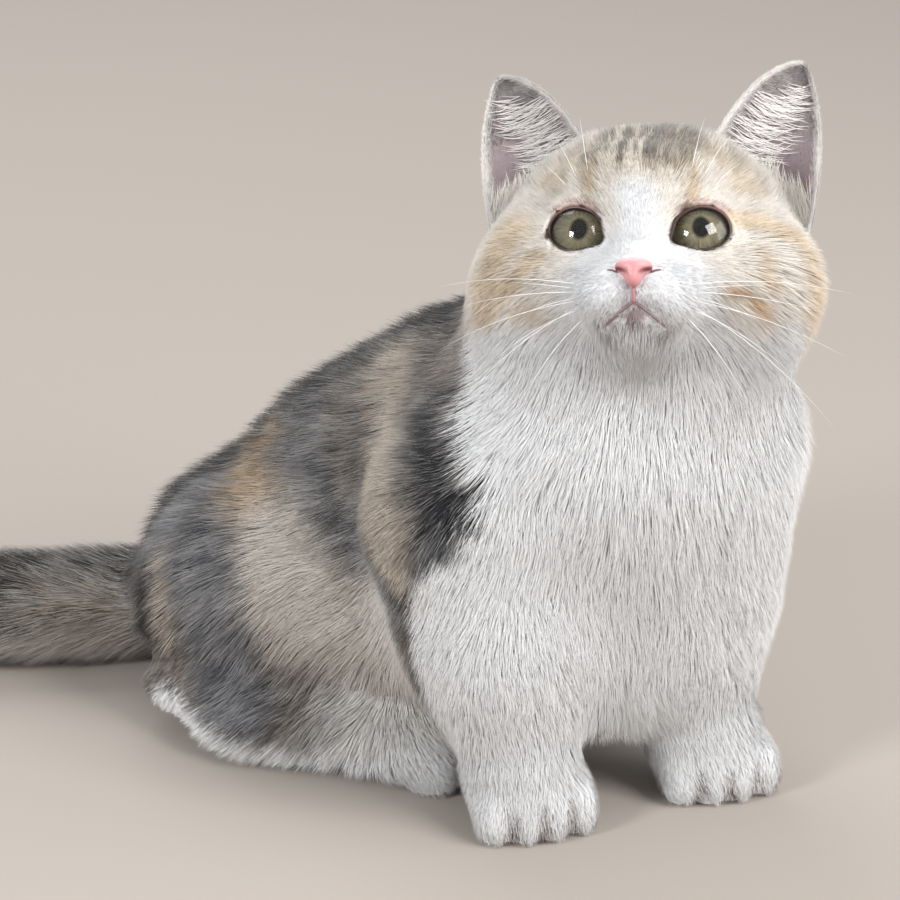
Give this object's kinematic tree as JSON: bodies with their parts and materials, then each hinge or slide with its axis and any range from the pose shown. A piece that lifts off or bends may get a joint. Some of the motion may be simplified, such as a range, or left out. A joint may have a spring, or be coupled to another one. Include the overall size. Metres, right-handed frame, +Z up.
{
  "type": "munchkin cat",
  "caption": "Short-legged calico kitten sitting with its head raised, ears up and tail laid out behind on the floor, as a still life-size figure.",
  "frame": {"origin": "middle of the outline's box on the floor, under the kitten", "axes": "+X from the tail towards the chest, +Y to the kitten's left, +Z up"},
  "size_m": [0.3598, 0.1638, 0.1894],
  "materials": {
    "white_coat": "soft white fur",
    "cream_coat": "soft buff and grey fur",
    "grey_coat": "soft dark grey fur",
    "eye": "wet and clear",
    "nose_skin": "moist bare skin"
  },
  "bodies": {
    "root": {"eye_right": "eye", "ear_right": "white_coat", "eye_left": "eye", "ear_left": "white_coat", "nose": "nose_skin", "head": "white_coat", "forepaw_right": "white_coat", "hindpaw_right": "white_coat", "foreleg_right": "white_coat", "thigh_right": "grey_coat", "forepaw_left": "white_coat", "hindpaw_left": "white_coat", "foreleg_left": "white_coat", "thigh_left": "grey_coat", "tail_tip": "grey_coat", "tail_middle": "grey_coat", "tail_base": "grey_coat", "neck": "white_coat", "rump": "grey_coat", "loin": "cream_coat", "chest": "white_coat"}
  },
  "joints": []
}
